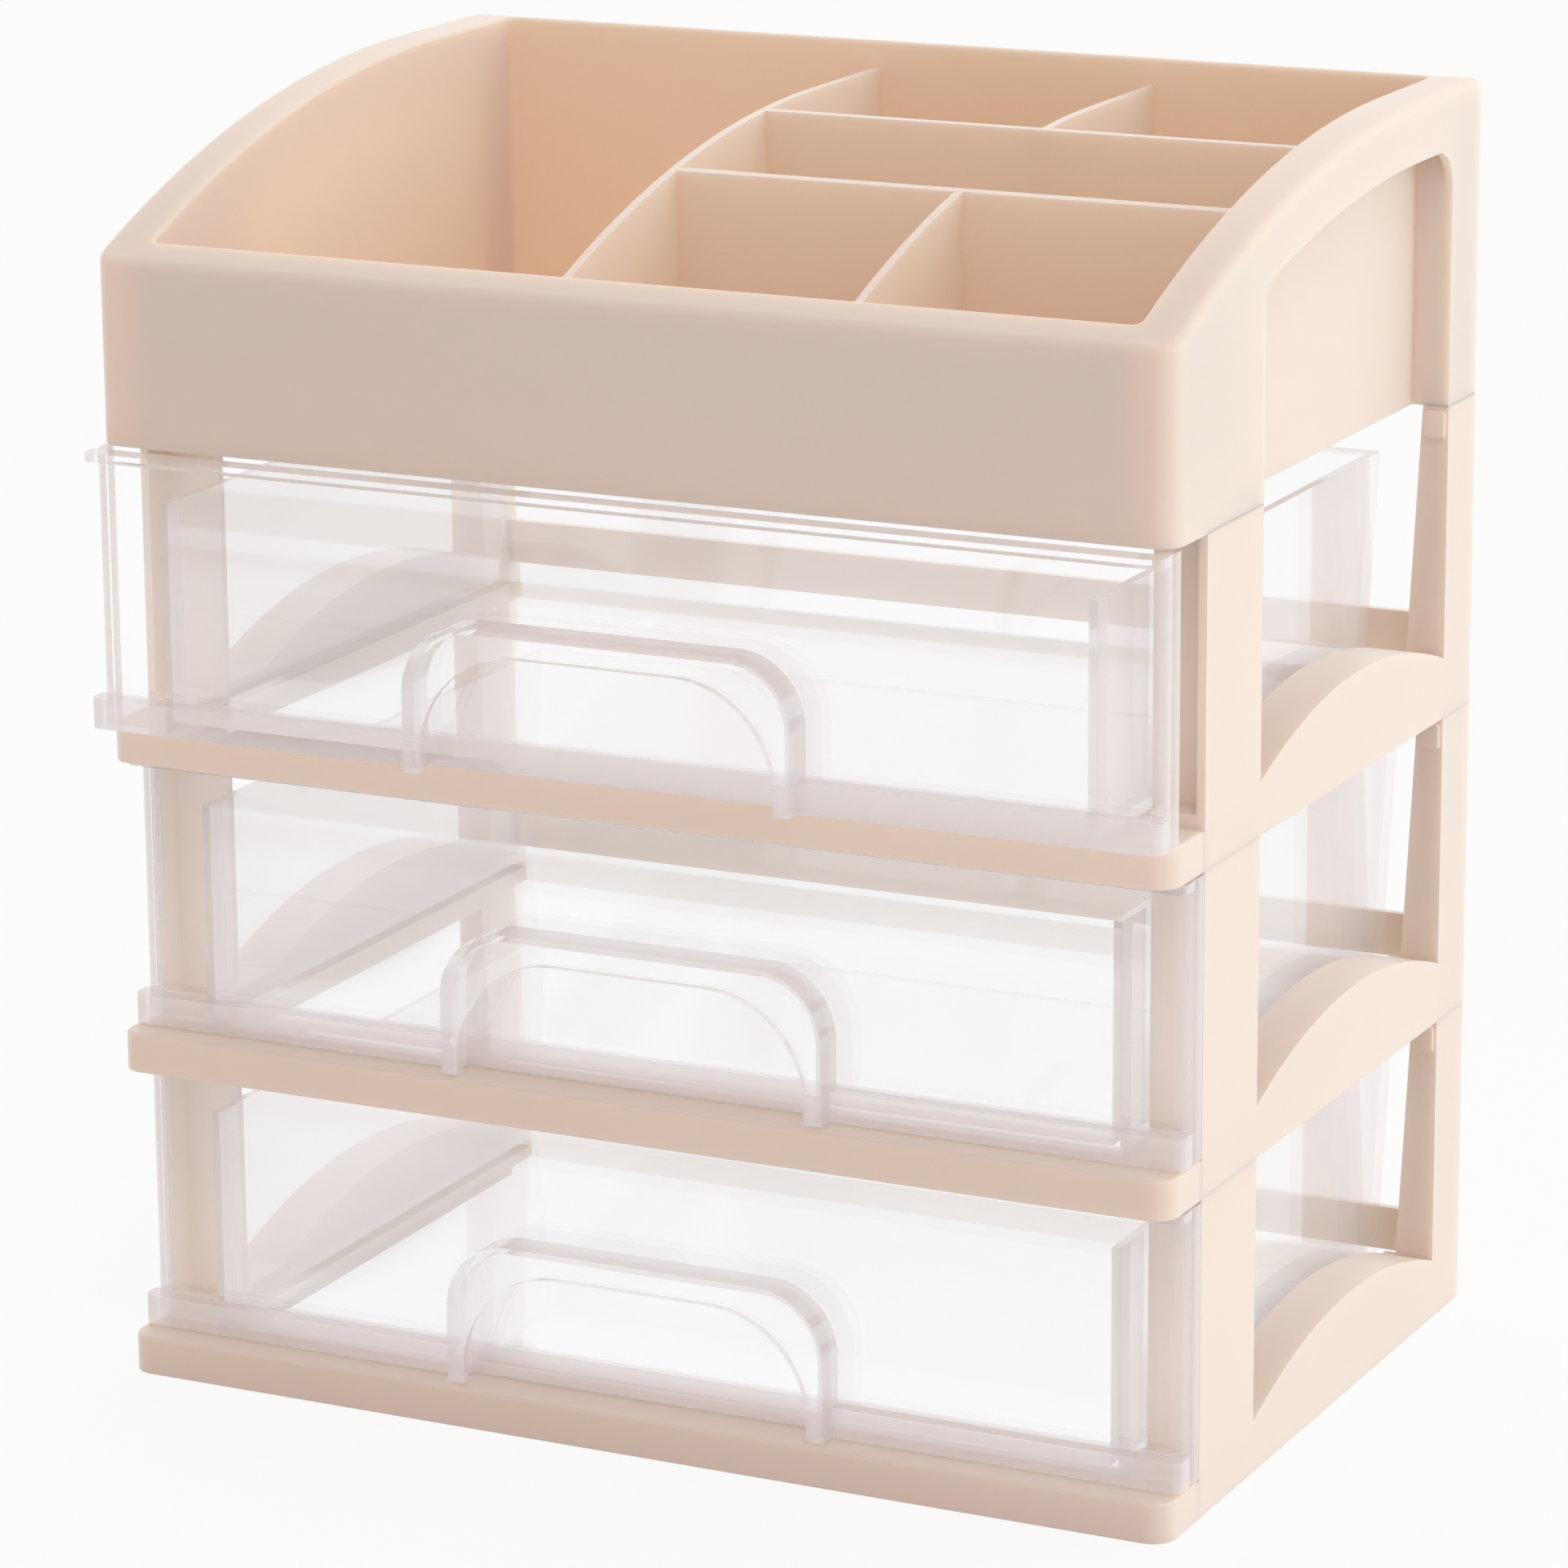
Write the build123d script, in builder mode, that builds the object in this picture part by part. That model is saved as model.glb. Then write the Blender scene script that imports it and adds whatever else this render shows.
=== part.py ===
"""Cosmetic drawer organizer: a curved compartment tray on three open tiers with clear drawers.

Millimetres. X runs across the front, +Y to the back and +Z up. The origin is on the table,
under the middle of the space that the organizer takes up with its top drawer a little open.
"""
import os
from build123d import *

# Overall frame
WIDTH = 260.0
DEPTH = 178.0
TIER_COUNT = 3
TIER_PITCH = 73.0
TRAY_FRONT_HEIGHT = 42.0
TRAY_REAR_HEIGHT = 73.0
CORNER_RADIUS = 5.5
WALL = 2.0
CLEARANCE = 0.3

# Tier frame: front rail, posts, arched sills and rear rail
RAIL_HEIGHT = 9.0
RAIL_EDGE_RADIUS = 0.8
POST_SETBACK = 18.0
FRONT_POST_WIDTH = 15.5
FRONT_POST_DEPTH = 31.0
FRONT_POST_RECESS = 8.0
REAR_POST_DEPTH = 17.4
REAR_POST_TOP_WIDTH = 6.2
REAR_POST_FOOT_WIDTH = 10.0
SILL_WIDTH = 12.5
SILL_FRONT_RISE = 12.0
SILL_PEAK_RISE = 23.5
SILL_REAR_RISE = 14.2
SILL_PEAK_BEHIND_FRONT = 113.0
RUNNER_WIDTH = 6.5
RUNNER_THICKNESS = 2.0
REAR_RAIL_HEIGHT = 10.5
REAR_RAIL_RISE = 10.5
REAR_RAIL_THICKNESS = 2.0
LUG_WIDTH = 4.0
LUG_HEIGHT = 4.0
LUG_REACH = 5.0
TONGUE_LENGTH = 12.0
TONGUE_THICKNESS = 2.6
TONGUE_RISE = 6.0
TONGUE_ROOT = 8.0
LATCH_WIDTH = 5.0
LATCH_HEIGHT = 6.0
LATCH_THICKNESS = 1.4
LATCH_DROP = 1.0
LATCH_RADIUS = 1.2

# Compartment tray
CURVE_RUN = 140.0
RIM_WIDTH = 11.3
RIM_THICKNESS = 2.3
RIM_OUTER_RADIUS = 2.4
RIM_INNER_RADIUS = 0.9
FRONT_RIM_WIDTH = 8.0
TRAY_BACK_WALL = 3.5
TRAY_FLOOR = 2.5
TRAY_CORE_WALL = 2.3
SIDE_BAND_HEIGHT = 13.5
SIDE_OPENING_RADIUS = 9.0
DIVIDER_THICKNESS = 2.0
DIVIDER_DROP = 6.5
LONG_DIVIDER_X = -20.0
SHORT_DIVIDER_X = 50.0
FRONT_ROW_DEPTH = 60.0
MIDDLE_ROW_DEPTH = 43.0
POCKET_RADIUS = 2.0

# Clear drawers
PULLED_OUT = 14.0
PANEL_SETBACK = 10.5
PANEL_THICKNESS = 2.2
PANEL_TOP_GAP = 0.6
DRAWER_WALL = 2.0
DRAWER_FLOOR = 2.0
DRAWER_SIDE_GAP = 1.0
DRAWER_SIDE_HEIGHT = 52.0
DRAWER_REAR_GAP = 3.0
DRAWER_REAR_SLANT = 8.0
LIP_DEPTH = 3.3
LIP_HEIGHT = 7.0
LIP_CORNER_RADIUS = 2.0
LEDGE_THICKNESS = 2.0
HANDLE_WIDTH = 94.0
HANDLE_HEIGHT = 34.0
HANDLE_REACH = 8.0
HANDLE_RADIUS = 16.0
HANDLE_WALL = 2.0
HANDLE_BROW = 6.0
HANDLE_LEG = 4.0
HANDLE_MOUTH_RADIUS = 24.0

# Places that follow from the sizes above
HALF = WIDTH / 2
FRONT = (PULLED_OUT + HANDLE_REACH - PANEL_SETBACK - DEPTH) / 2
REAR = FRONT + DEPTH
POST_FRONT = FRONT + POST_SETBACK
WINDOW_FRONT = POST_FRONT + FRONT_POST_DEPTH
JAMB = REAR - REAR_POST_DEPTH
POST_INNER = HALF - FRONT_POST_WIDTH
SILL_INNER = HALF - SILL_WIDTH
SKIN_INNER = HALF - WALL
TRAY_BOTTOM = TIER_COUNT * TIER_PITCH
TRAY_TOP = TRAY_BOTTOM + TRAY_REAR_HEIGHT
TRAY_FRONT_TOP = TRAY_BOTTOM + TRAY_FRONT_HEIGHT
CURVE_END = FRONT + CURVE_RUN
CAVITY = HALF - RIM_WIDTH
CAVITY_FRONT = FRONT + FRONT_RIM_WIDTH
CAVITY_REAR = REAR - TRAY_BACK_WALL
CORE = CAVITY + TRAY_CORE_WALL
REAR_RAIL_BACK = REAR - WALL - CLEARANCE
OVERRUN = 10.0


def block(low, high, mode=Mode.ADD):
    """A box between two corners, given in either order."""
    middle = [(a + b) / 2 for a, b in zip(low, high)]
    size = [abs(b - a) for a, b in zip(low, high)]
    with Locations(tuple(middle)):
        Box(*size, mode=mode)


def post_inset(rise):
    """How far the rear post reaches in from the side at a height above its foot."""
    return REAR_POST_FOOT_WIDTH + (REAR_POST_TOP_WIDTH - REAR_POST_FOOT_WIDTH) * rise / TIER_PITCH


def sill_slab(x_from, x_to, start, end, base, drop, mode=Mode.ADD):
    """A bar along the side, between two depths, with the sill's arched top lowered by drop."""
    front_top = base + SILL_FRONT_RISE - drop
    rear_top = base + SILL_REAR_RISE - drop
    peak = (FRONT + SILL_PEAK_BEHIND_FRONT, base + SILL_PEAK_RISE - drop)
    with BuildSketch(Plane.YZ.offset(x_from)) as outline:
        with BuildLine():
            Polyline((POST_FRONT, base), (REAR, base), (REAR, rear_top), (JAMB, rear_top))
            ThreePointArc((JAMB, rear_top), peak, (WINDOW_FRONT, front_top))
            Polyline((WINDOW_FRONT, front_top), (POST_FRONT, front_top), (POST_FRONT, base))
        make_face()
        with Locations(((start + end) / 2, base)):
            Rectangle(end - start, 2 * TIER_PITCH, mode=Mode.INTERSECT)
    extrude(outline.sketch, amount=x_to - x_from, mode=mode)


def post_slab(side, base, low, high, wall, mode=Mode.ADD):
    """The tapered rear post between two heights, made smaller by wall on each side."""
    foot = HALF - post_inset(low - base) + wall
    top = HALF - post_inset(high - base) + wall
    outer = side * (HALF - wall)
    with BuildSketch(Plane.XZ.offset(-(JAMB + wall))) as outline:
        with BuildLine():
            Polyline((outer, low), (outer, high), (side * top, high), (side * foot, low), close=True)
        make_face()
    extrude(outline.sketch, amount=-(REAR_POST_DEPTH - 2 * wall), mode=mode)


def side_frame(label, side, base):
    """One side of a tier: front post with a set-back wall, arched sill, runner and rear post."""
    top = base + TIER_PITCH
    rail_low = base + REAR_RAIL_RISE
    wall_front = POST_FRONT + FRONT_POST_RECESS
    with BuildPart() as frame:
        sill_slab(side * SILL_INNER, side * HALF, POST_FRONT, JAMB + WALL, base, 0)
        block((side * POST_INNER, wall_front, base), (side * HALF, wall_front + WALL, top))
        block((side * SKIN_INNER, POST_FRONT, base), (side * HALF, WINDOW_FRONT, top))
        post_slab(side, base, base, top, 0)
        # Open channel under the sill and hollow core of the rear post
        sill_slab(
            side * (SILL_INNER + WALL),
            side * SKIN_INNER,
            POST_FRONT + WALL,
            JAMB - WALL,
            base,
            WALL,
            Mode.SUBTRACT,
        )
        post_slab(side, base, base, top - WALL, WALL, Mode.SUBTRACT)
        # Runner that the drawer slides on
        block(
            (side * (SILL_INNER - RUNNER_WIDTH), POST_FRONT, base + RAIL_HEIGHT - RUNNER_THICKNESS),
            (side * (SILL_INNER + WALL), JAMB, base + RAIL_HEIGHT),
        )
        # Socket for the front rail's lug
        block(
            (side * (SILL_INNER + WALL), POST_FRONT - WALL, base + WALL - CLEARANCE),
            (
                side * (SILL_INNER + WALL + LUG_WIDTH + 2 * CLEARANCE),
                POST_FRONT + 2 * WALL,
                base + WALL + LUG_HEIGHT + CLEARANCE,
            ),
            Mode.SUBTRACT,
        )
        # Slot for the rear rail's lug
        block(
            (
                side * (SILL_INNER - WALL),
                REAR_RAIL_BACK - REAR_RAIL_THICKNESS - CLEARANCE,
                rail_low + WALL - CLEARANCE,
            ),
            (
                side * (HALF - 2 * WALL),
                REAR_RAIL_BACK + CLEARANCE,
                rail_low + REAR_RAIL_HEIGHT - WALL + CLEARANCE,
            ),
            Mode.SUBTRACT,
        )
        # Tongues that plug into the module above
        tongue_outer = SKIN_INNER - CLEARANCE
        tongue_end = WINDOW_FRONT - WALL
        block(
            (side * (tongue_outer - TONGUE_THICKNESS), tongue_end - TONGUE_LENGTH, top - TONGUE_ROOT),
            (side * (SKIN_INNER + WALL / 2), tongue_end, top),
        )
        block(
            (side * (tongue_outer - TONGUE_THICKNESS), tongue_end - TONGUE_LENGTH, top - TONGUE_ROOT),
            (side * tongue_outer, tongue_end, top + TONGUE_RISE),
        )
        rear_middle = (JAMB + REAR) / 2
        block(
            (side * (tongue_outer - TONGUE_THICKNESS), rear_middle - TONGUE_LENGTH / 2, top - WALL),
            (side * tongue_outer, rear_middle + TONGUE_LENGTH / 2, top + TONGUE_RISE),
        )
        # Small latch on the front of the rear post, just under its top
        latch_top = top - LATCH_DROP
        latch_middle = side * (HALF - REAR_POST_TOP_WIDTH / 2)
        with BuildSketch(Plane.XZ.offset(-(JAMB + WALL / 2))) as latch:
            with Locations((latch_middle, latch_top - LATCH_HEIGHT / 2)):
                Rectangle(LATCH_WIDTH, LATCH_HEIGHT)
            fillet(latch.vertices().group_by(Axis.Y)[-1], LATCH_RADIUS)
        extrude(latch.sketch, amount=WALL / 2 + LATCH_THICKNESS)
    frame.part.label = label
    export_step(frame.part, f"parts/{label}.step")


def front_rail(label, base):
    """Rail across the front of a tier, open underneath, with a lug at each end."""
    with BuildPart() as rail:
        with BuildSketch(Plane.XY.offset(base)) as footprint:
            with Locations((0, (FRONT + POST_FRONT) / 2)):
                Rectangle(WIDTH, POST_SETBACK)
            fillet(footprint.vertices().group_by(Axis.Y)[0], CORNER_RADIUS)
        extrude(amount=RAIL_HEIGHT)
        fillet(rail.faces().sort_by(Axis.Z)[-1].edges().sort_by(Axis.Y)[:-1], RAIL_EDGE_RADIUS)
        with BuildSketch(Plane.XY.offset(base)) as hollow:
            with Locations((0, (FRONT + POST_FRONT) / 2)):
                Rectangle(WIDTH - 2 * WALL, POST_SETBACK - 2 * WALL)
            fillet(hollow.vertices().group_by(Axis.Y)[0], CORNER_RADIUS - WALL)
        extrude(amount=RAIL_HEIGHT - WALL, mode=Mode.SUBTRACT)
        for side in (-1, 1):
            lug_inner = SILL_INNER + WALL + CLEARANCE
            block(
                (side * lug_inner, POST_FRONT - WALL, base + WALL),
                (side * (lug_inner + LUG_WIDTH), POST_FRONT + LUG_REACH, base + WALL + LUG_HEIGHT),
            )
    rail.part.label = label
    export_step(rail.part, f"parts/{label}.step")


def rear_rail(label, base):
    """Rail across the back of a tier, between the rear posts, with a lug at each end."""
    low = base + REAR_RAIL_RISE
    high = low + REAR_RAIL_HEIGHT
    foot = HALF - post_inset(low - base)
    head = HALF - post_inset(high - base)
    with BuildPart() as rail:
        with BuildSketch(Plane.XZ.offset(-REAR_RAIL_BACK)) as outline:
            with BuildLine():
                Polyline((-foot, low), (foot, low), (head, high), (-head, high), close=True)
            make_face()
        extrude(amount=REAR_RAIL_THICKNESS)
        block(
            (-(HALF - 2 * WALL - CLEARANCE), REAR_RAIL_BACK - REAR_RAIL_THICKNESS, low + WALL),
            (HALF - 2 * WALL - CLEARANCE, REAR_RAIL_BACK, high - WALL),
        )
    rail.part.label = label
    export_step(rail.part, f"parts/{label}.step")


def handle_slab(half, top, radius, y_from, y_to, bottom, mode=Mode.ADD):
    """An upright slab with two rounded top corners, between two depths."""
    with BuildSketch(Plane.XZ.offset(-y_to)) as outline:
        with Locations((0, (top + bottom) / 2)):
            Rectangle(2 * half, top - bottom)
        fillet(outline.vertices().group_by(Axis.Y)[-1], radius)
    extrude(outline.sketch, amount=y_to - y_from, mode=mode)


def front_slab(y_from, y_to, half, radius, low, high, mode=Mode.ADD):
    """A flat slab across the front, between two heights, with its two front corners rounded."""
    with BuildSketch(Plane.XY.offset(low)) as outline:
        with Locations((0, (y_from + y_to) / 2)):
            Rectangle(2 * half, y_to - y_from)
        fillet(outline.vertices().group_by(Axis.Y)[0], radius)
    extrude(outline.sketch, amount=high - low, mode=mode)


def drawer(label, base, pulled):
    """A clear drawer: box with slanted back, wide front with end returns, lip and cup handle."""
    face = FRONT + PANEL_SETBACK - pulled
    panel_back = face + PANEL_THICKNESS
    bottom = base + RAIL_HEIGHT + CLEARANCE
    panel_top = base + TIER_PITCH - PANEL_TOP_GAP
    box_half = POST_INNER - DRAWER_SIDE_GAP
    rim = bottom + DRAWER_SIDE_HEIGHT
    rear_top = REAR - pulled - DRAWER_REAR_GAP
    rear_foot = rear_top - DRAWER_REAR_SLANT
    slope = DRAWER_REAR_SLANT / DRAWER_SIDE_HEIGHT
    wrap_back = POST_FRONT - CLEARANCE - pulled
    handle_front = face - HANDLE_REACH
    with BuildPart() as box:
        # Wide front with rounded corners and returns that run back to the posts
        front_slab(face, wrap_back, HALF, CORNER_RADIUS, bottom, panel_top)
        front_slab(
            panel_back,
            wrap_back + OVERRUN,
            HALF - DRAWER_WALL,
            CORNER_RADIUS - DRAWER_WALL,
            bottom - OVERRUN,
            panel_top + OVERRUN,
            Mode.SUBTRACT,
        )
        # Ledge along the head of the front and lip along its foot
        for low, high in ((panel_top - LEDGE_THICKNESS, panel_top), (bottom, bottom + LIP_HEIGHT)):
            front_slab(face - LIP_DEPTH, panel_back, HALF, LIP_CORNER_RADIUS, low, high)
        # Box with its slanted back
        with BuildSketch(Plane.YZ.offset(-box_half)) as outline:
            with BuildLine():
                Polyline(
                    (face, bottom), (rear_foot, bottom), (rear_top, rim), (face, rim), close=True
                )
            make_face()
        extrude(outline.sketch, amount=2 * box_half)
        with BuildSketch(Plane.YZ.offset(-(box_half - DRAWER_WALL))) as inside:
            inner_foot = rear_foot - DRAWER_WALL + slope * DRAWER_FLOOR
            inner_top = rear_top - DRAWER_WALL + slope * OVERRUN
            with BuildLine():
                Polyline(
                    (panel_back, bottom + DRAWER_FLOOR),
                    (inner_foot, bottom + DRAWER_FLOOR),
                    (inner_top, rim + OVERRUN),
                    (panel_back, rim + OVERRUN),
                    close=True,
                )
            make_face()
        extrude(inside.sketch, amount=2 * (box_half - DRAWER_WALL), mode=Mode.SUBTRACT)
        # Cup handle: hood, then its hollow, then the mouth in its front
        crown = bottom + HANDLE_HEIGHT
        half = HANDLE_WIDTH / 2
        handle_slab(half, crown, HANDLE_RADIUS, handle_front, face + CLEARANCE, bottom)
        handle_slab(
            half - HANDLE_WALL,
            crown - HANDLE_WALL,
            HANDLE_RADIUS - HANDLE_WALL,
            handle_front + HANDLE_WALL,
            face,
            bottom - OVERRUN,
            Mode.SUBTRACT,
        )
        handle_slab(
            half - HANDLE_LEG,
            crown - HANDLE_BROW,
            HANDLE_MOUTH_RADIUS,
            handle_front - OVERRUN,
            face,
            bottom - OVERRUN,
            Mode.SUBTRACT,
        )
    box.part.label = label
    export_step(box.part, f"parts/{label}.step")


def rim_slab(x_from, x_to, y_from, y_to, bottom, drop, mode=Mode.ADD, corner=0):
    """A slab under the tray's curved rim line, lowered by drop, between two depths."""
    with BuildSketch(Plane.YZ.offset(x_from)) as outline:
        with BuildLine():
            Polyline(
                (FRONT, bottom), (REAR, bottom), (REAR, TRAY_TOP - drop), (CURVE_END, TRAY_TOP - drop)
            )
            TangentArc((CURVE_END, TRAY_TOP - drop), (FRONT, TRAY_FRONT_TOP - drop), tangent=(-1, 0))
            Line((FRONT, TRAY_FRONT_TOP - drop), (FRONT, bottom))
        make_face()
        with Locations(((y_from + y_to) / 2, (bottom + TRAY_TOP) / 2)):
            Rectangle(y_to - y_from, TRAY_TOP - bottom, mode=Mode.INTERSECT)
        if corner:
            fillet(outline.vertices().group_by(Axis.X)[-1].sort_by(Axis.Y)[-1], corner)
    extrude(outline.sketch, amount=x_to - x_from, mode=mode)


def tray(label):
    """The compartment tray: curved double wall, open sides and six compartments."""
    below = TRAY_BOTTOM - OVERRUN
    floor = TRAY_BOTTOM + TRAY_FLOOR
    half_divider = DIVIDER_THICKNESS / 2
    front_row_end = CAVITY_FRONT + FRONT_ROW_DEPTH
    middle_row_end = front_row_end + DIVIDER_THICKNESS + MIDDLE_ROW_DEPTH
    with BuildPart() as body:
        rim_slab(-HALF, HALF, FRONT, REAR, TRAY_BOTTOM, 0)
        fillet(body.edges().filter_by(Axis.Z).group_by(Axis.Y)[0], CORNER_RADIUS)
        rim_line = body.edges().filter_by(Axis.Z, reverse=True)
        upper = [e for e in rim_line if e.center().Z > TRAY_FRONT_TOP - RIM_OUTER_RADIUS]
        fillet([e for e in upper if abs(e.center().Y - CURVE_END) > CLEARANCE], RIM_OUTER_RADIUS)
        # One cavity down to the floor, then the dividers in it
        with BuildSketch(Plane.XY.offset(floor)) as cavity:
            with Locations((0, (CAVITY_FRONT + CAVITY_REAR) / 2)):
                RectangleRounded(2 * CAVITY, CAVITY_REAR - CAVITY_FRONT, POCKET_RADIUS)
        extrude(cavity.sketch, amount=TRAY_REAR_HEIGHT, mode=Mode.SUBTRACT)
        cut = body.edges(Select.LAST).filter_by(Axis.Z, reverse=True)
        mouth = [e for e in cut if e.center().Z > floor + CLEARANCE]
        fillet([e for e in mouth if abs(e.center().Y - CURVE_END) > CLEARANCE], RIM_INNER_RADIUS)
        rim_slab(
            LONG_DIVIDER_X - half_divider,
            LONG_DIVIDER_X + half_divider,
            CAVITY_FRONT - WALL / 2,
            CAVITY_REAR + WALL / 2,
            TRAY_BOTTOM,
            DIVIDER_DROP,
        )
        for row_end in (front_row_end, middle_row_end):
            rim_slab(
                LONG_DIVIDER_X,
                CAVITY + WALL / 2,
                row_end,
                row_end + DIVIDER_THICKNESS,
                TRAY_BOTTOM,
                DIVIDER_DROP,
            )
        short_rows = (
            (CAVITY_FRONT - WALL / 2, front_row_end + half_divider),
            (middle_row_end + half_divider, CAVITY_REAR + WALL / 2),
        )
        for row_front, row_rear in short_rows:
            rim_slab(
                SHORT_DIVIDER_X - half_divider,
                SHORT_DIVIDER_X + half_divider,
                row_front,
                row_rear,
                TRAY_BOTTOM,
                DIVIDER_DROP,
            )
        # Hollow double wall, open underneath: front, then each side with its opening and rear post
        rim_slab(
            -(CORE - WALL),
            CORE - WALL,
            FRONT + WALL,
            CAVITY_FRONT - TRAY_CORE_WALL,
            below,
            RIM_THICKNESS,
            Mode.SUBTRACT,
        )
        for side in (-1, 1):
            rim_slab(
                side * CORE,
                side * SKIN_INNER,
                FRONT + CORNER_RADIUS,
                JAMB,
                below,
                RIM_THICKNESS,
                Mode.SUBTRACT,
            )
            rim_slab(
                side * (CORE + WALL),
                side * SKIN_INNER,
                JAMB + WALL,
                REAR - WALL,
                below,
                RIM_THICKNESS + WALL,
                Mode.SUBTRACT,
            )
            rim_slab(
                side * (SKIN_INNER - CLEARANCE),
                side * (HALF + OVERRUN),
                WINDOW_FRONT,
                JAMB,
                below,
                SIDE_BAND_HEIGHT,
                Mode.SUBTRACT,
                SIDE_OPENING_RADIUS,
            )
    body.part.label = label
    export_step(body.part, f"parts/{label}.step")


os.makedirs("parts", exist_ok=True)
for tier in range(TIER_COUNT):
    foot = (TIER_COUNT - 1 - tier) * TIER_PITCH
    number = tier + 1
    side_frame(f"tier_{number}_left_frame", -1, foot)
    side_frame(f"tier_{number}_right_frame", 1, foot)
    front_rail(f"tier_{number}_front_rail", foot)
    rear_rail(f"tier_{number}_rear_rail", foot)
    drawer(f"drawer_{number}", foot, PULLED_OUT if tier == 0 else 0)
tray("top_tray")
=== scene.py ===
import math
import bpy
from mathutils import Matrix, Vector


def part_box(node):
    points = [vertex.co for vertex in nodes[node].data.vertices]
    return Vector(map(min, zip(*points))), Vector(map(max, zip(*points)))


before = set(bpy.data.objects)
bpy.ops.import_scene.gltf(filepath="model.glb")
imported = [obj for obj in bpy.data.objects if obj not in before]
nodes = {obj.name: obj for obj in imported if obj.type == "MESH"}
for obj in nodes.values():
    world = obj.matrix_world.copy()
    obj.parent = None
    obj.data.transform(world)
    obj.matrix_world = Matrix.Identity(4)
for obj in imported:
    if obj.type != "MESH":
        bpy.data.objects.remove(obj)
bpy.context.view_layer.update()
scene = bpy.context.scene

# Camera: place and clipping in metres, angles in degrees, lens and sensor in millimetres
CAMERA_PLACE = (0.63119, -1.28181, 0.51753)
CAMERA_YAW = 26.253
CAMERA_PITCH = 14.997
CAMERA_ROLL = -0.443
CAMERA_LENS = 148.41
CAMERA_SENSOR = 36.0
CAMERA_NEAR = 0.05
CAMERA_FAR = 50.0

# Drawer, in metres: depth of its front from the handle back, how far its walls stay below
# the top of the front, and height of the lip along the foot of the front
FRONT_DEPTH = 0.0152
RIM_DROP = 0.0111
LIP_HEIGHT = 0.007

# Drawer, in metres: how far behind the front, below the rim and above the lip the painted edge
# shade and the grey veil fade
FRONT_FADE = 0.001
RIM_FADE_START = 0.001
RIM_FADE_END = 0.0004
LIP_FADE = 0.0004

# Cream plastic, with the roughness of its glossiest and its dullest spots
CREAM = (0.912, 0.757, 0.655)
CREAM_SHADE = (0.897, 0.74, 0.635)
CREAM_GLOSSY = 0.35
CREAM_DULL = 0.46
TRAY_TRANSLUCENCE = 0.68
TIER_TRANSLUCENCE = 0.3

# Clear plastic: the mask is 0 where clear and 1 on the edges, whose grey tint is painted shade
# for how refraction darkens clear edges; the lip and side walls get part of it as a grey veil
CLEAR_TINT = (0.995, 0.99, 0.995)
EDGE_SHADE_TINT = (0.89, 0.85, 0.855)
SHADOW_TINT = (0.97, 0.96, 0.97)
LIP_VEIL = 0.7
WALL_VEIL = 0.35
CLEAR_TRANSMISSION = 1.0
EDGE_SHADE_TRANSMISSION = 0.5
CLEAR_GLOSSY = 0.02
CLEAR_DULL = 0.06

# Floor, in metres, and the share of plain white in what is seen of it
FLOOR_REACH = 9.0
FLOOR_DROP = 0.0002
FLOOR_COLOUR = (0.92, 0.92, 0.92)
FLOOR_WHITE = 0.88

# Fill light from all round. Tint and level change from front to back, between two values of the
# direction's Y, and the level drops to a share overhead, between two values of its Z.
FILL_FRONT_TINT = (1.0, 0.84, 0.825)
FILL_BACK_TINT = (1.0, 0.955, 0.885)
FILL_FRONT_LEVEL = 0.56
FILL_BACK_LEVEL = 1.46
FILL_FRONT = -0.6
FILL_BACK = 0.6
OVERHEAD_START = 0.25
OVERHEAD_END = 0.95
OVERHEAD_SHARE = 0.72


class Tree:
    """The nodes of one material or world, with short ways to add, set and link them."""

    def __init__(self, owner):
        owner.use_nodes = True
        self.tree = owner.node_tree
        self.tree.nodes.clear()

    def feed(self, socket, value):
        """Link the socket where the value is another node's output, and otherwise set it."""
        if isinstance(value, bpy.types.NodeSocket):
            self.tree.links.new(value, socket)
        else:
            socket.default_value = value

    def add(self, kind, inputs=None):
        node = self.tree.nodes.new(kind)
        for name, value in (inputs or {}).items():
            self.feed(node.inputs[name], value)
        return node

    def math(self, operation, *values):
        node = self.tree.nodes.new("ShaderNodeMath")
        node.operation = operation
        for socket, value in zip(node.inputs, values):
            self.feed(socket, value)
        return node.outputs["Value"]

    def span(self, value, start, end, low=0.0, high=1.0):
        """The value carried over from start and end to low and high, and held beyond them."""
        node = self.add("ShaderNodeMapRange", {
            "Value": value,
            "From Min": start,
            "From Max": end,
            "To Min": low,
            "To Max": high,
        })
        return node.outputs["Result"]

    def ramp(self, value, first, last, start=0.0, end=1.0):
        """A colour that goes from first at start to last at end."""
        node = self.add("ShaderNodeValToRGB", {"Fac": value})
        first_stop, last_stop = node.color_ramp.elements
        first_stop.position = start
        first_stop.color = (*first, 1.0)
        last_stop.position = end
        last_stop.color = (*last, 1.0)
        return node.outputs["Color"]

    def noise(self, place, scale, detail):
        inputs = {"Vector": place, "Scale": scale, "Detail": detail}
        return self.add("ShaderNodeTexNoise", inputs).outputs["Fac"]

    def bump(self, height, strength, depth):
        inputs = {"Height": height, "Strength": strength, "Distance": depth}
        return self.add("ShaderNodeBump", inputs).outputs["Normal"]

    def split(self, vector):
        return self.add("ShaderNodeSeparateXYZ", {"Vector": vector}).outputs

    def mix(self, share, first, second):
        """The first shader where share is 0 and the second where it is 1."""
        inputs = {0: share, 1: first, 2: second}
        return self.add("ShaderNodeMixShader", inputs).outputs["Shader"]


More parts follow.
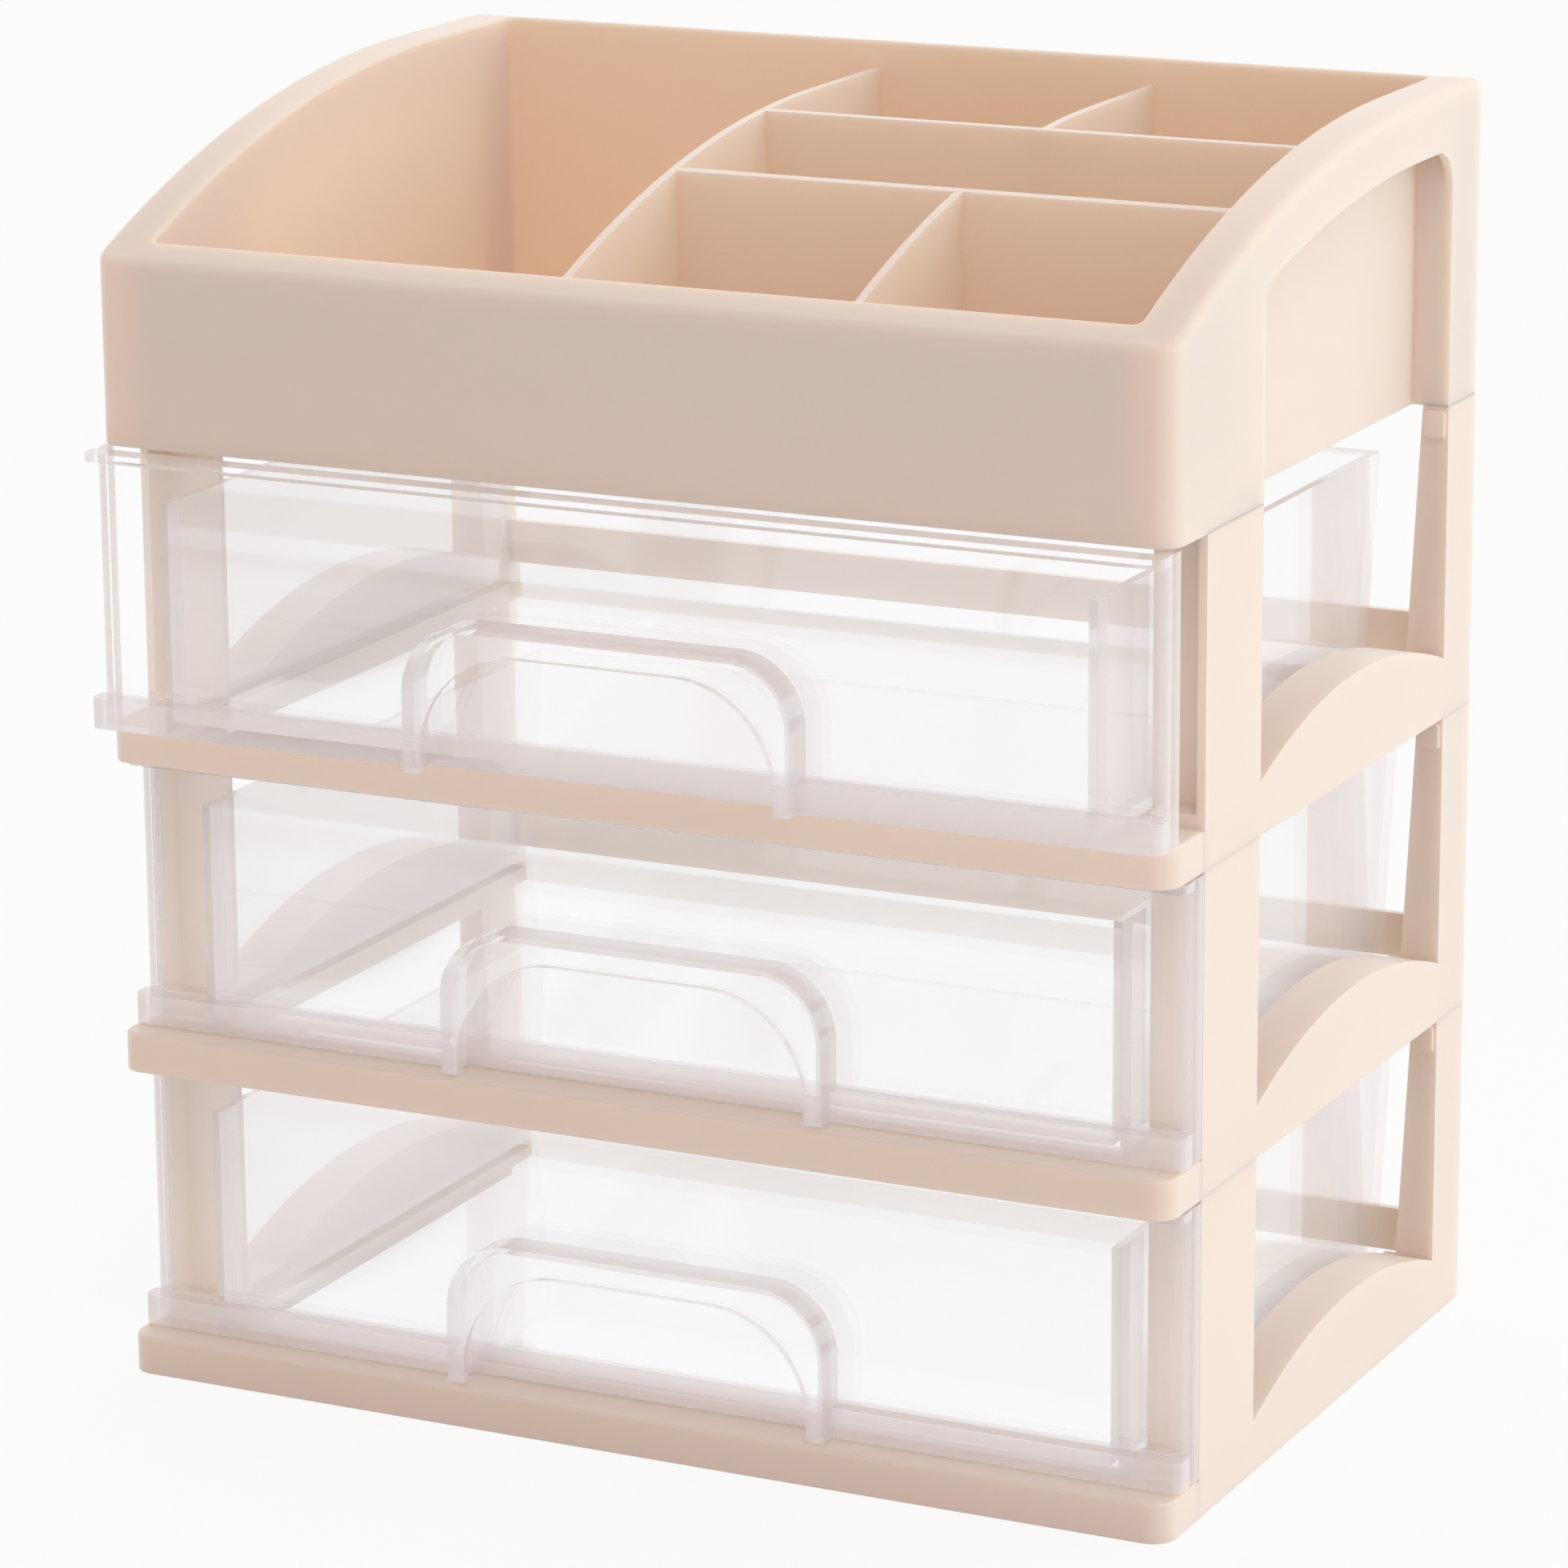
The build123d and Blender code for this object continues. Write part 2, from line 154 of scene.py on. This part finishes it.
def satin_plastic(name, translucence):
    """Moulded satin plastic: faint cloudy colour, uneven sheen and a very fine grain."""
    mat = bpy.data.materials.new(name)
    t = Tree(mat)
    place = t.add("ShaderNodeTexCoord").outputs["Object"]
    cloud = t.noise(place, scale=14.0, detail=3.0)
    sheen = t.noise(place, scale=90.0, detail=4.0)
    grain = t.noise(place, scale=1800.0, detail=2.0)
    shader = t.add("ShaderNodeBsdfPrincipled", {
        "Base Color": t.ramp(cloud, CREAM_SHADE, CREAM, start=0.3, end=0.7),
        "Roughness": t.span(sheen, 0.0, 1.0, CREAM_GLOSSY, CREAM_DULL),
        "Normal": t.bump(grain, strength=0.06, depth=0.0003),
        "IOR": 1.49,
        "Coat Weight": 0.5,
        "Coat Roughness": 0.3,
        "Sheen Weight": 0.4,
        "Sheen Roughness": 0.45,
        "Subsurface Weight": translucence,
        "Subsurface Radius": (0.95, 0.93, 0.72),
        "Subsurface Scale": 0.006,
    })
    t.add("ShaderNodeOutputMaterial", {"Surface": shader.outputs["BSDF"]})
    return mat


def clear_plastic(name, wrap_back, rim, lip_top):
    """Clear moulded plastic with faint flow marks; painted grey shade on its edges, and its lip
    and side walls greyer and less see-through.

    wrap_back is how far back the drawer's front reaches, rim is the height of its side walls
    and lip_top is the height of the lip along the foot of its front.
    """
    mat = bpy.data.materials.new(name)
    t = Tree(mat)
    place = t.add("ShaderNodeTexCoord").outputs["Object"]
    spot = t.split(place)
    facing = t.split(t.add("ShaderNodeNewGeometry").outputs["Normal"])
    in_front = t.span(spot["Y"], wrap_back + FRONT_FADE, wrap_back)
    # Faces of the front that don't look straight ahead get painted grey edge shade
    aside = t.math("SUBTRACT", 1.0, t.math("ABSOLUTE", facing["Y"]))
    front_edge = t.math("MULTIPLY", aside, in_front)
    # Upper edges of the walls get painted grey edge shade
    at_rim = t.span(spot["Z"], rim - RIM_FADE_START, rim - RIM_FADE_END)
    wall_edge = t.math("MULTIPLY", facing["Z"], at_rim)
    # The lip along the foot of the front, greyer and less see-through
    at_foot = t.span(spot["Z"], lip_top + LIP_FADE, lip_top, high=LIP_VEIL)
    lip = t.math("MULTIPLY", at_foot, in_front)
    # The side walls, a little greyer and less see-through than the front
    wall = t.math("MULTIPLY", t.math("ABSOLUTE", facing["X"]), WALL_VEIL)
    edge = t.math("MAXIMUM", front_edge, wall_edge)
    edge_shade_and_veil = t.math("MAXIMUM", t.math("MAXIMUM", edge, lip), wall)
    flow = t.noise(place, scale=22.0, detail=2.0)
    # Grey tint and lower transmission where the mask is up: painted edge shade, and the grey
    # veil of the lip and side walls
    shader = t.add("ShaderNodeBsdfPrincipled", {
        "Base Color": t.ramp(edge_shade_and_veil, CLEAR_TINT, EDGE_SHADE_TINT),
        "Roughness": t.span(flow, 0.0, 1.0, CLEAR_GLOSSY, CLEAR_DULL),
        "Normal": t.bump(flow, strength=0.05, depth=0.0004),
        "Transmission Weight": t.span(edge_shade_and_veil, 0.0, 1.0, CLEAR_TRANSMISSION, EDGE_SHADE_TRANSMISSION),
        "IOR": 1.03,
        "Coat Weight": 1.0,
        "Coat Roughness": 0.04,
        "Coat IOR": 2.2,
    })
    # Shadows stay as faint as those of a thin clear wall
    through = t.add("ShaderNodeBsdfTransparent", {"Color": (*SHADOW_TINT, 1.0)})
    in_shadow = t.add("ShaderNodeLightPath").outputs["Is Shadow Ray"]
    surface = t.mix(in_shadow, shader.outputs["BSDF"], through.outputs["BSDF"])
    t.add("ShaderNodeOutputMaterial", {"Surface": surface})
    return mat


def dress_nodes():
    """Give every piece its plastic."""
    tray_cream = satin_plastic("tray_satin_plastic", TRAY_TRANSLUCENCE)
    tier_cream = satin_plastic("tier_satin_plastic", TIER_TRANSLUCENCE)
    for name, node in nodes.items():
        if name.startswith("drawer"):
            low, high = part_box(name)
            mat = clear_plastic(
                name + "_clear_plastic",
                wrap_back=low[1] + FRONT_DEPTH,
                rim=high[2] - RIM_DROP,
                lip_top=low[2] + LIP_HEIGHT,
            )
        elif name == "top_tray":
            mat = tray_cream
        else:
            mat = tier_cream
        node.data.materials.clear()
        node.data.materials.append(mat)


def seen_directly(t):
    """A value that is 1 for camera, mirror and see-through rays and 0 for scattered light."""
    path = t.add("ShaderNodeLightPath").outputs
    first = t.math("MAXIMUM", path["Is Camera Ray"], path["Is Glossy Ray"])
    return t.math("MAXIMUM", first, path["Is Transmission Ray"])


def build_floor():
    """A wide pale floor that keeps the shadow and otherwise shows as white."""
    mesh = bpy.data.meshes.new("floor")
    sides = ((-1, -1), (1, -1), (1, 1), (-1, 1))
    corners = [(x * FLOOR_REACH, y * FLOOR_REACH, 0.0) for x, y in sides]
    mesh.from_pydata(corners, [], [(0, 1, 2, 3)])
    floor = bpy.data.objects.new("floor", mesh)
    floor.location.z = -FLOOR_DROP
    scene.collection.objects.link(floor)
    mat = bpy.data.materials.new("pale_floor")
    t = Tree(mat)
    matt = t.add("ShaderNodeBsdfDiffuse", {"Color": (*FLOOR_COLOUR, 1.0)})
    white = t.add("ShaderNodeEmission", {"Strength": 1.0})
    share = t.math("MULTIPLY", seen_directly(t), FLOOR_WHITE)
    surface = t.mix(share, matt.outputs["BSDF"], white.outputs["Emission"])
    t.add("ShaderNodeOutputMaterial", {"Surface": surface})
    mesh.materials.append(mat)


def build_world():
    """Soft warm light from all round, stronger from behind; white where it is seen directly."""
    world = bpy.data.worlds.new("studio")
    scene.world = world
    t = Tree(world)
    way = t.split(t.add("ShaderNodeTexCoord").outputs["Generated"])
    behind = t.span(way["Y"], FILL_FRONT, FILL_BACK)
    level = t.span(behind, 0.0, 1.0, FILL_FRONT_LEVEL, FILL_BACK_LEVEL)
    overhead = t.span(way["Z"], OVERHEAD_START, OVERHEAD_END, 1.0, OVERHEAD_SHARE)
    fill = t.add("ShaderNodeBackground", {
        "Color": t.ramp(behind, FILL_FRONT_TINT, FILL_BACK_TINT),
        "Strength": t.math("MULTIPLY", level, overhead),
    })
    white = t.add("ShaderNodeBackground", {"Color": (1.0, 1.0, 1.0, 1.0), "Strength": 1.0})
    surface = t.mix(seen_directly(t), fill.outputs["Background"], white.outputs["Background"])
    t.add("ShaderNodeOutputWorld", {"Surface": surface})


def area_light(name, place, target, size, power, colour):
    """A round lamp that looks from its place to the target."""
    lamp = bpy.data.lights.new(name, "AREA")
    lamp.shape = "DISK"
    lamp.size = size
    lamp.energy = power
    lamp.color = colour
    obj = bpy.data.objects.new(name, lamp)
    obj.location = place
    aim = Vector(target) - Vector(place)
    obj.rotation_mode = "QUATERNION"
    obj.rotation_quaternion = aim.to_track_quat("-Z", "Y")
    scene.collection.objects.link(obj)


def build_lamps():
    """A cool lamp from the right and a warm one from the front and above."""
    area_light(
        "key",
        place=(1.6, 0.15, 0.55),
        target=(0.0, 0.0, 0.16),
        size=1.0,
        power=5.0,
        colour=(0.60, 0.88, 1.0),
    )
    area_light(
        "front",
        place=(0.75, -0.9, 1.6),
        target=(0.0, 0.0, 0.27),
        size=0.7,
        power=4.0,
        colour=(1.0, 0.93, 0.84),
    )


def build_camera():
    """The photograph's camera, turned about the upright, tilted down and rolled."""
    data = bpy.data.cameras.new("camera")
    data.lens = CAMERA_LENS
    data.sensor_width = CAMERA_SENSOR
    data.clip_start = CAMERA_NEAR
    data.clip_end = CAMERA_FAR
    cam = bpy.data.objects.new("camera", data)
    # An unturned camera looks straight down, and a tilt of 90 degrees brings it level
    turn = Matrix.Rotation(math.radians(CAMERA_YAW), 4, "Z")
    tilt = Matrix.Rotation(math.radians(90.0 - CAMERA_PITCH), 4, "X")
    roll = Matrix.Rotation(math.radians(CAMERA_ROLL), 4, "Z")
    cam.matrix_world = Matrix.Translation(CAMERA_PLACE) @ turn @ tilt @ roll
    scene.collection.objects.link(cam)
    scene.camera = cam


dress_nodes()
build_floor()
build_world()
build_lamps()
build_camera()
scene.view_settings.view_transform = "Standard"
# Enough bounces for light that crosses several clear walls
scene.cycles.max_bounces = 24
scene.cycles.diffuse_bounces = 6
scene.cycles.transmission_bounces = 20
scene.cycles.transparent_max_bounces = 24
